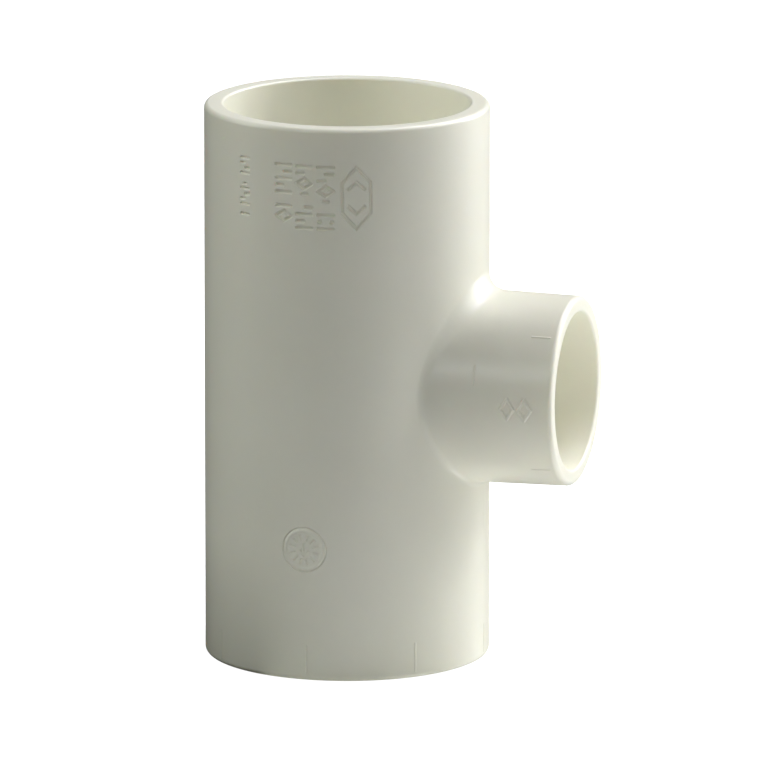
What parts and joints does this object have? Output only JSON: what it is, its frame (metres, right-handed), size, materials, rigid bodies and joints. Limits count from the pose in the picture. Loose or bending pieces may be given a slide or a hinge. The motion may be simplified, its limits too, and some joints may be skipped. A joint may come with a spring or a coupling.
{
  "type": "reducing pipe tee",
  "caption": "Plain-socket reducing tee: a straight run of pipe sockets with a smaller socket branching off square at mid-length, for solvent-welded PVC-U pressure pipe.",
  "frame": {"origin": "centre of the lower run socket's mouth, on the plane of the lower end face", "axes": "+Z along the run, from the lower socket to the upper one; +X along the branch, out of its socket"},
  "size_m": [0.0777, 0.0582, 0.114],
  "materials": {
    "moulded_pvc": "semi-gloss moulded plastic, off-white"
  },
  "bodies": {
    "root": {"tee_body": "moulded_pvc"}
  },
  "joints": []
}
